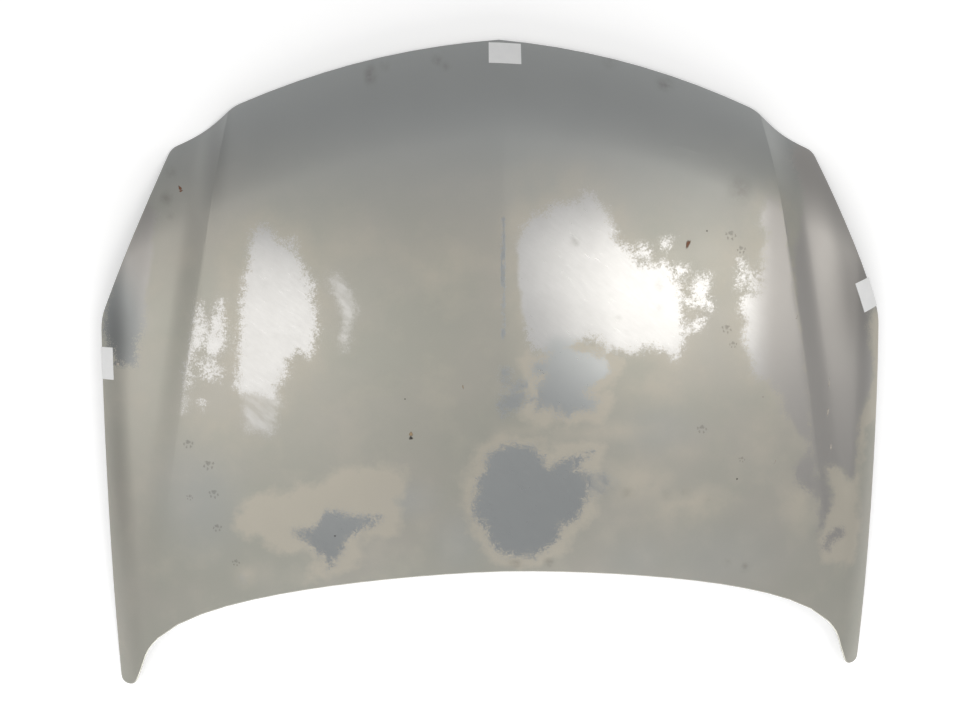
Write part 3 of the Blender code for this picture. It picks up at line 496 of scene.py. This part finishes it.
paint, tree = new_material("worn_paint")
shader = shader_of(tree)
ragged = wander(tree, RAGGED_SCALE, RAGGED_SPREAD, 4, 0.6)
torn = wander(tree, TORN_SCALE, TORN_SPREAD, 4, 0.75)
grain = wander(tree, GRAIN_SCALE, GRAIN_SPREAD, 3, 0.85)
calm = field(tree, "smooth_edge")
rough_edge = between(tree, calm, 0.0, 1.0, 1.0, CALM_EDGE)
fine_edge = calc(tree, "MULTIPLY", calc(tree, "ADD", torn, grain), rough_edge)
edge = calc(tree, "ADD", ragged, fine_edge)
edge_width = between(tree, calm, 0.0, 1.0, SHARP_EDGE_WIDTH, SOFT_EDGE_WIDTH)
silver_place = calc(tree, "ADD", field(tree, "silver_depth"), edge)
steps_inside = calc(tree, "DIVIDE", silver_place, edge_width)
silver = calc(tree, "MULTIPLY_ADD", steps_inside, 0.5, 0.5, clamp=True)

coarse_specks = between(tree, noise(tree, SPECK_SCALE, 5, 0.8), 0.46, 0.48)
speck_place = calc(tree, "ADD", field(tree, "speck_depth"), edge)
specks = calc(tree, "MULTIPLY", coarse_specks, between(tree, speck_place, -0.002, 0.001))
fringe_place = calc(tree, "ADD", field(tree, "silver_depth"), ragged)
fringe_share = between(tree, fringe_place, -FRINGE_REACH, 0.0)
fringe_specks = between(tree, noise(tree, FRINGE_SCALE, 3, 0.7), 0.60, 0.63)
fringe = calc(tree, "MULTIPLY", calc(tree, "MULTIPLY", fringe_specks, fringe_share), rough_edge)
brushed = noise(tree, BRUSH_SCALE, 4, 0.6, stretch=(4, 1, 1), turn=SCRATCH_TURN)
brush_share = between(tree, brushed, 0.35, 0.6, FAINT_LEAST, FAINT_MOST)
faint_place = calc(tree, "ADD", field(tree, "faint_depth"), edge)
faint = calc(tree, "MULTIPLY", between(tree, faint_place, -0.004, 0.010), brush_share)
ridge_shift = calc(tree, "MULTIPLY", torn, RIDGE_TEAR)
ridge_place = calc(tree, "ADD", field(tree, "ridge_depth"), ridge_shift)
ridge = between(tree, ridge_place, -0.0010, 0.0005)
bare = silver
for other in (specks, fringe, faint, ridge):
    bare = calc(tree, "MAXIMUM", bare, other)
bare = calc(tree, "MULTIPLY", bare, field(tree, "outer_face"))

mottle = noise(tree, MOTTLE_SCALE, 3, 0.55)
cloud = noise(tree, CLOUD_SCALE, 4, 0.6)
tone = mixed(tree, between(tree, mottle, 0.38, 0.62), PAINT_GREEN, PAINT_MID)
tone = mixed(tree, between(tree, cloud, 0.5, 0.75, 0.0, CLOUD_SHARE), tone, PAINT_BEIGE)
tone = mixed(tree, field(tree, "cool"), tone, PAINT_COOL)
ring_shift = wander(tree, RING_SCALE, RING_SPREAD, 5, 0.6)
ring_place = calc(tree, "ADD", field(tree, "halo_depth"), ring_shift)
ring = calc(tree, "MULTIPLY", between(tree, ring_place, -0.010, 0.008), RING_SHARE)
beige = calc(tree, "MULTIPLY", field(tree, "halo"), between(tree, cloud, 0.3, 0.6, 0.2, 1.0))
beige = calc(tree, "MULTIPLY", calc(tree, "MAXIMUM", ring, beige), field(tree, "outer_face"))
tone = mixed(tree, beige, tone, PAINT_BEIGE)
# Painted shade, partly dirt: the paint mixed towards black by the shade blots.
tone = mixed(tree, field(tree, "shade"), tone, BLACK)
grit = mixed(tree, noise(tree, GRIT_SCALE, 2, 0.6), BLACK, GRIT_LIGHT)
tone = mixed(tree, GRIT_SHARE, tone, grit, "OVERLAY")

scratches = noise(tree, SCRATCH_SCALE, 5, 0.75, stretch=(5, 1, 1), turn=SCRATCH_TURN)
metal = mixed(tree, between(tree, scratches, 0.35, 0.65, 0.0, 0.4), SILVER, SILVER_DULL)
worn_metal = between(tree, noise(tree, WORN_METAL_SCALE, 4, 0.6), 0.35, 0.7, 0.0, 0.5)
metal = mixed(tree, worn_metal, metal, SILVER_DULL)
metal = mixed(tree, field(tree, "dull_metal"), metal, SILVER_FLANK)
# Blue silver on the rear patches and the ridge, and painted shade on the left flank.
metal = mixed(tree, field(tree, "blue_metal_and_painted_shade"), metal, SILVER_BLUE)
# Painted dark reflection: the flanks' bare metal mixed towards black.
metal = mixed(tree, field(tree, "painted_dark_reflection"), metal, BLACK)
smudged = between(tree, noise(tree, SMUDGE_SCALE, 3, 0.6), 0.3, 0.6, 0.1, 0.5)
smudged = calc(tree, "MULTIPLY", field(tree, "smudge"), smudged)
colour = mixed(tree, smudged, mixed(tree, bare, tone, metal), DIRT)
tree.links.new(colour, shader.inputs["Base Color"])
metallic = between(tree, bare, 0, 1, PAINT_METALLIC, BARE_METALLIC)
tree.links.new(metallic, shader.inputs["Metallic"])
matt = between(tree, cloud, 0.3, 0.7, MATT_LEAST, MATT_MOST)
satin = between(tree, scratches, 0.3, 0.7, SATIN_LEAST, SATIN_MOST)
satin = calc(tree, "MULTIPLY_ADD", field(tree, "dull_metal"), DULL_ROUGHNESS, satin)
roughness = node(tree, "Mix", {0: bare, 2: matt, 3: satin}).outputs[0]
tree.links.new(roughness, shader.inputs["Roughness"])
shader.inputs["Specular IOR Level"].default_value = 0.5
skin_mesh.materials.clear()
skin_mesh.materials.append(paint)
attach(skin, "root")
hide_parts("outer_skin")


# Stickers
# Three blank stock stickers of thin white paper, pressed onto the paint at the nose and
# over both side edges, where each folds down round the hem.

STICKER_LENGTH = 0.058
STICKER_WIDTH = 0.040
STICKER_CUTS = (40, 28)
STICKER_LIFT = 0.00012
STICKER_PAPER = 0.0001
STICKERS = {
    "nose_sticker": ((505, 53), -2),
    "left_sticker": ((104, 363), 90),
    "right_sticker": ((868, 294), 111),
}
PAPER_GREY = (0.78, 0.78, 0.78, 1)
PAPER_WHITE = (0.86, 0.86, 0.85, 1)
PAPER_SCALE = 60
PAPER_SHEEN_SCALE = 90
# The panel's side edge in plan, from the lamp's front corner back, where a sticker folds.
SIDE_EDGE = ((0.592, 0.408), (0.7137, 0.1214), (0.7196, 0.1026), (0.7218, 0.083), (0.7265, -0.6))
FOLD_REACH = 0.0005
FOLD_DROP = 0.0035

paper, tree = new_material("sticker_paper")
shader = shader_of(tree)
tone = mixed(tree, noise(tree, PAPER_SCALE, 4, 0.6), PAPER_GREY, PAPER_WHITE)
tree.links.new(tone, shader.inputs["Base Color"])
sheen = between(tree, noise(tree, PAPER_SHEEN_SCALE, 3), 0.3, 0.7, 0.35, 0.5)
tree.links.new(sheen, shader.inputs["Roughness"])


def over_edge(x, y):
    """How far a place lies past the side edge, and the edge's nearest place."""
    side = -1 if x < 0 else 1
    past, nearest = -1, None
    for (ax, ay), (bx, by) in zip(SIDE_EDGE, SIDE_EDGE[1:]):
        run = Vector((bx - ax, by - ay))
        reach = Vector((abs(x) - ax, y - ay))
        share = min(max(reach.dot(run) / run.dot(run), 0), 1)
        foot = Vector((ax, ay)) + run * share
        gap = (Vector((abs(x), y)) - foot).length
        outside = run.x * reach.y - run.y * reach.x > 0
        if nearest is None or gap < abs(past):
            past, nearest = (gap if outside else -gap), foot
    return past, Vector((nearest.x * side, nearest.y))


for name, (pixel, turn) in STICKERS.items():
    across_cuts, along_cuts = STICKER_CUTS
    bpy.ops.mesh.primitive_grid_add(x_subdivisions=across_cuts, y_subdivisions=along_cuts, size=1)
    sticker = bpy.context.object
    sticker.name = name
    middle = Vector(on_skin([pixel])[0])
    angle = math.radians(turn)
    gone = []
    for vertex in sticker.data.vertices:
        u = vertex.co.x * STICKER_LENGTH
        v = vertex.co.y * STICKER_WIDTH
        x = middle.x + u * math.cos(angle) - v * math.sin(angle)
        y = middle.y + u * math.sin(angle) + v * math.cos(angle)
        past, foot = over_edge(x, y)
        if past > 0:
            out = (Vector((x, y)) - foot).normalized() * min(past, FOLD_REACH)
            drop = min(past, FOLD_DROP)
            height = float(skin_height(foot.x, foot.y)) - drop + STICKER_LIFT
            vertex.co = (foot.x + out.x, foot.y + out.y, height)
            if past > FOLD_DROP:
                gone.append(vertex.index)
        else:
            vertex.co = (x, y, float(skin_height(x, y)) + STICKER_LIFT)
    bpy.ops.object.mode_set(mode="EDIT")
    bpy.ops.mesh.select_mode(type="VERT")
    bpy.ops.mesh.select_all(action="DESELECT")
    bpy.ops.object.mode_set(mode="OBJECT")
    for index in gone:
        sticker.data.vertices[index].select = True
    bpy.ops.object.mode_set(mode="EDIT")
    bpy.ops.mesh.delete(type="VERT")
    bpy.ops.object.mode_set(mode="OBJECT")
    thick = sticker.modifiers.new("paper", "SOLIDIFY")
    thick.thickness = STICKER_PAPER
    thick.offset = 1
    bpy.ops.object.modifier_apply(modifier=thick.name)
    sticker.data.materials.append(paper)
    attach(sticker, "root")


# Marks
# Paw prints in the dust, stone chips down to brown primer, light scratches, and a small bump drawn as a
# tan spot over a dark spot of painted shade. Each is a flat film that follows the skin a few hundredths
# of a millimetre above it.

PIXEL = 0.00178
MARK_LIFT = 0.00004
MARK_SIDES = 14
RAGGED_RIM = 0.18
FADE_START = 1.25
PAD_ACROSS = 3.6
PAD_ALONG = 2.9
TOE_ACROSS = 1.4
TOE_ALONG = 2.1
MARK_ROUGHNESS = 0.7
# Each print is its pixel, its turn in degrees and its size.
PRINTS = [(731, 233, 8, 1.0), (741, 248, -12, 0.8), (727, 327, 14, 0.9), (733, 343, -6, 0.7),
          (702, 427, 4, 0.9), (742, 458, 10, 0.6), (208, 463, -20, 1.0), (214, 492, 12, 0.9),
          (188, 442, -8, 0.9), (190, 496, 16, 0.6), (217, 526, -10, 0.8), (236, 561, 6, 0.7)]
TOES = [(-4.6, -1.6), (-2.4, -5.4), (2.2, -5.6), (4.8, -2.0)]
# Each chip is its pixel, its half width and half length in pixels, its turn and its kind.
CHIPS = [(688, 244, 2.4, 5.0, -25, "chip"), (180, 188, 1.6, 3.2, 35, "chip"),
         (181, 191, 2.4, 1.0, 20, "chip"), (707, 231, 0.9, 1.0, 0, "dark"),
         (405, 399, 0.8, 0.9, 0, "dark"), (463, 387, 0.6, 2.4, 8, "tan"),
         (737, 479, 1.1, 1.1, 0, "dark"), (335, 536, 1.0, 1.0, 0, "dark"),
         (118, 364, 2.6, 1.6, 15, "pale"), (797, 317, 0.7, 3.2, -30, "pale"),
         (775, 462, 0.7, 2.6, -25, "pale"), (763, 397, 1.0, 1.0, 0, "pale"),
         (829, 383, 0.9, 5.0, -4, "pale"), (828, 412, 1.3, 4.5, -8, "pale"),
         # The last two make a small bump: a tan top over a dark spot that is its painted shade.
         (831, 447, 1.2, 3.4, 0, "pale"), (411, 434, 2.2, 2.6, 0, "tan"),
         (411, 438, 2.2, 2.2, 0, "dark")]
MARK_LOOKS = {
    "print": ((0.21, 0.205, 0.185, 1), 0.24), "chip": ((0.24, 0.10, 0.05, 1), 1.0),
    "dark": ((0.035, 0.03, 0.025, 1), 1.0), "pale": ((0.66, 0.60, 0.52, 1), 0.8),
    "tan": ((0.42, 0.30, 0.17, 1), 0.9)}


def flat_marks(name, spots, colour, cover):
    """One mesh of small ragged flat spots, each given by pixel, radii and turn."""
    made = []
    for index, (px, py, across, along, turn) in enumerate(spots):
        bpy.ops.mesh.primitive_circle_add(vertices=MARK_SIDES, radius=1, fill_type="TRIFAN")
        spot = bpy.context.object
        cover_layer = spot.data.attributes.new("cover", "FLOAT", "POINT")
        for vertex in spot.data.vertices:
            cover_layer.data[vertex.index].value = FADE_START - vertex.co.length
        middle = Vector(on_skin([(px, py)])[0])
        angle = math.radians(turn)
        for vertex in spot.data.vertices:
            ragged = 1 + RAGGED_RIM * math.sin(5 * vertex.index + 2.3 * index)
            u = vertex.co.x * across * PIXEL * ragged
            v = vertex.co.y * along * PIXEL * ragged
            x = middle.x + u * math.cos(angle) - v * math.sin(angle)
            y = middle.y + u * math.sin(angle) + v * math.cos(angle)
            vertex.co = (x, y, float(skin_height(x, y)) + MARK_LIFT)
        made.append(spot)
    bpy.ops.object.select_all(action="DESELECT")
    for spot in made:
        spot.select_set(True)
    bpy.context.view_layer.objects.active = made[0]
    bpy.ops.object.join()
    marks = bpy.context.object
    marks.name = name
    look, tree = new_material(name)
    shader = shader_of(tree)
    darker = tuple(0.7 * part for part in colour[:3]) + (1,)
    tone = mixed(tree, noise(tree, 400, 3, 0.6), colour, darker)
    tree.links.new(tone, shader.inputs["Base Color"])
    shader.inputs["Roughness"].default_value = MARK_ROUGHNESS
    worn = between(tree, noise(tree, 700, 3, 0.6), 0.3, 0.6, 0.6 * cover, cover)
    worn = calc(tree, "MULTIPLY", worn, between(tree, field(tree, "cover"), 0.25, 0.75))
    tree.links.new(worn, shader.inputs["Alpha"])
    marks.data.materials.append(look)
    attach(marks, "root")


paw_spots = []
for px, py, turn, size in PRINTS:
    paw_spots.append((px, py, PAD_ACROSS * size, PAD_ALONG * size, turn))
    angle = math.radians(turn)
    for toe_x, toe_y in TOES:
        toe_px = px + (toe_x * math.cos(angle) + toe_y * math.sin(angle)) * size
        toe_py = py - (toe_y * math.cos(angle) - toe_x * math.sin(angle)) * size
        paw_spots.append((toe_px, toe_py, TOE_ACROSS * size, TOE_ALONG * size, turn))
flat_marks("paw_prints", paw_spots, *MARK_LOOKS["print"])
for kind in ("chip", "dark", "pale", "tan"):
    spots = [spot[:5] for spot in CHIPS if spot[5] == kind]
    flat_marks(kind + "_marks", spots, *MARK_LOOKS[kind])


# Inner frame and its plates
# One pressed sheet with six windows, held in the skin's hem, and thicker plates spot welded
# to it at the latch and the hinges. Grey factory primer, dusty where air blows through.

PRIMER_DARK = (0.27, 0.275, 0.27, 1)
PRIMER_LIGHT = (0.35, 0.345, 0.33, 1)
PRIMER_DUST = (0.33, 0.29, 0.23, 1)
PRIMER_SCALE = 9
DUST_SCALE = 40
DUST_MOST = 0.5
FRAME_MERGE = 0.00002
FRAME_SMOOTH_ANGLE = math.radians(32)


def mottled(name, first, second, scale, low_roughness, high_roughness):
    """Material mottled between two colours, with an uneven sheen."""
    material, tree = new_material(name)
    shader = shader_of(tree)
    tone = mixed(tree, noise(tree, scale, 4, 0.6), first, second)
    tree.links.new(tone, shader.inputs["Base Color"])
    sheen = between(tree, noise(tree, 1.4 * scale, 3), 0.3, 0.7, low_roughness, high_roughness)
    tree.links.new(sheen, shader.inputs["Roughness"])
    return material


def dress(start, material):
    """Give a material to the CAD pieces whose names start with these words."""
    for name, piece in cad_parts.items():
        if name.startswith(start):
            piece.data.materials.clear()
            piece.data.materials.append(material)


primer = mottled("frame_primer", PRIMER_DARK, PRIMER_LIGHT, PRIMER_SCALE, 0.5, 0.7)
tree = primer.node_tree
shader = shader_of(tree)
tone = shader.inputs["Base Color"].links[0].from_socket
dust = between(tree, noise(tree, DUST_SCALE, 5, 0.65), 0.5, 0.8, 0.0, DUST_MOST)
tree.links.new(mixed(tree, dust, tone, PRIMER_DUST), shader.inputs["Base Color"])

frame_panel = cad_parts["inner_frame"].copy()
frame_panel.data = frame_panel.data.copy()
frame_panel.name = "inner_frame_look"
bpy.context.scene.collection.objects.link(frame_panel)
bpy.ops.object.select_all(action="DESELECT")
frame_panel.select_set(True)
bpy.context.view_layer.objects.active = frame_panel
bpy.ops.object.mode_set(mode="EDIT")
bpy.ops.mesh.select_all(action="SELECT")
bpy.ops.mesh.remove_doubles(threshold=FRAME_MERGE)
bpy.ops.object.mode_set(mode="OBJECT")
bpy.ops.object.shade_smooth_by_angle(angle=FRAME_SMOOTH_ANGLE)
frame_panel.data.materials.clear()
frame_panel.data.materials.append(primer)
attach(frame_panel, "root")
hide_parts("inner_frame")
dress("latch_reinforcement", primer)
dress("hinge_reinforcement", primer)


# Striker and fasteners
# A bent wire loop peened into a small plate, its two bolts, and the weld nuts at the latch
# and the hinges. All are steel with a dull yellowish zinc coat.

ZINC_DARK = (0.42, 0.42, 0.40, 1)
ZINC_LIGHT = (0.62, 0.60, 0.52, 1)
ZINC_SCALE = 180
ZINC_METALLIC = 0.9

zinc = mottled("zinc_plate", ZINC_DARK, ZINC_LIGHT, ZINC_SCALE, 0.3, 0.5)
shader_of(zinc.node_tree).inputs["Metallic"].default_value = ZINC_METALLIC
dress("striker", zinc)
dress("latch_weld_nut", zinc)
dress("hinge_weld_nut", zinc)


# Rubber stops
# Four moulded black rubber buffers that the shut panel rests on. Each is held by its barb
# in a hole of the inner frame.

RUBBER_DARK = (0.022, 0.022, 0.022, 1)
RUBBER_LIGHT = (0.05, 0.048, 0.045, 1)
RUBBER_SCALE = 240

rubber = mottled("stop_rubber", RUBBER_DARK, RUBBER_LIGHT, RUBBER_SCALE, 0.6, 0.8)
dress("bump_stop", rubber)


# Prop rod socket
# A moulded black plastic bush that takes the prop rod's bent end. It snaps into a hole of
# the inner frame.

PLASTIC_DARK = (0.035, 0.035, 0.036, 1)
PLASTIC_LIGHT = (0.065, 0.063, 0.06, 1)
PLASTIC_SCALE = 200

plastic = mottled("socket_plastic", PLASTIC_DARK, PLASTIC_LIGHT, PLASTIC_SCALE, 0.4, 0.6)
dress("prop_rod_socket", plastic)


# Mastic dabs
# Soft off-white mastic, laid on the window rims and pressed against the skin, which it
# keeps from fluttering.

MASTIC_DARK = (0.48, 0.45, 0.38, 1)
MASTIC_LIGHT = (0.60, 0.58, 0.52, 1)
MASTIC_SCALE = 160

mastic = mottled("mastic", MASTIC_DARK, MASTIC_LIGHT, MASTIC_SCALE, 0.7, 0.9)
dress("mastic_dab", mastic)


# Studio
# Pale floor and sky, two broad soft lights that stand in for windows, a low fill from the
# windscreen side, and the camera of the photographed view.

WHITE = (1, 1, 1, 1)
FLOOR_SIZE = 120
FLOOR_ROUGHNESS = 0.9
FLOOR_LIFT = 0.18
FAR_FLOOR_LIFT = 0.60
NEAR_FLOOR = 1.5
FAR_FLOOR = 6.0

bpy.ops.mesh.primitive_plane_add(size=FLOOR_SIZE)
floor = bpy.context.object
floor.name = "floor"
floor_paint, tree = new_material("floor")
shader = shader_of(tree)
shader.inputs["Base Color"].default_value = WHITE
shader.inputs["Roughness"].default_value = FLOOR_ROUGHNESS
shader.inputs["Specular IOR Level"].default_value = 0.0
path_kind = node(tree, "LightPath").outputs
seen = calc(tree, "MAXIMUM", path_kind["Is Camera Ray"], path_kind["Is Glossy Ray"])
seen = calc(tree, "MAXIMUM", seen, path_kind["Is Transmission Ray"])
shader.inputs["Emission Color"].default_value = WHITE
place = node(tree, "TexCoord").outputs["Object"]
distance = node(tree, "VectorMath", {0: place}, operation="LENGTH").outputs["Value"]
lift = between(tree, distance, NEAR_FLOOR, FAR_FLOOR, FLOOR_LIFT, FAR_FLOOR_LIFT)
tree.links.new(calc(tree, "MULTIPLY", seen, lift), shader.inputs["Emission Strength"])
floor.data.materials.append(floor_paint)


def soft_light(name, place, aim, width, length, watts, colour):
    """Large rectangular soft light that faces a point."""
    bpy.ops.object.light_add(type="AREA", location=place)
    made = bpy.context.object
    made.name = name
    made.rotation_euler = (Vector(aim) - Vector(place)).to_track_quat("-Z", "Y").to_euler()
    made.data.shape = "RECTANGLE"
    made.data.size = width
    made.data.size_y = length
    made.data.energy = watts
    made.data.color = colour


WARM_LIGHT = (1.0, 0.975, 0.935)
PLAIN_LIGHT = (1, 1, 1)
soft_light("window_right", (1.90, 0.62, 3.0), (0.25, 0.10, 0.1), 1.7, 2.2, 30, WARM_LIGHT)
soft_light("window_left", (-1.95, 0.05, 3.0), (-0.4, 0.0, 0.1), 1.9, 3.2, 30.5, WARM_LIGHT)
soft_light("rear_fill", (0, -4.2, 1.7), (0, 0, 0.1), 4.5, 1.6, 160, PLAIN_LIGHT)

# The sky is brightest at the horizon and overhead, which the low and the near views show.
SKY_COLOUR = (0.90, 0.92, 0.95, 1)
world = bpy.data.worlds.new("studio")
bpy.context.scene.world = world
world.use_nodes = True
sky = world.node_tree
direction = node(sky, "TexCoord").outputs["Generated"]
rise = node(sky, "SeparateXYZ", {0: direction}).outputs[2]
low_level = between(sky, rise, 0.04, 0.20, 0.80, 0.30)
high_level = between(sky, rise, 0.50, 0.95, 0.0, 0.20)
level = calc(sky, "ADD", low_level, high_level)
background = sky.nodes["Background"]
background.inputs["Color"].default_value = SKY_COLOUR
sky.links.new(level, background.inputs["Strength"])

camera_data = bpy.data.cameras.new("photo_camera")
camera = bpy.data.objects.new("photo_camera", camera_data)
bpy.context.scene.collection.objects.link(camera)
camera_data.sensor_width = 36
camera_data.lens = FOCAL_PIXELS / PICTURE_WIDTH * camera_data.sensor_width
camera.location = CAMERA_PLACE
camera.rotation_mode = CAMERA_ORDER
camera.rotation_euler = CAMERA_TURN
bpy.context.scene.camera = camera
bpy.context.scene.view_settings.view_transform = "Standard"
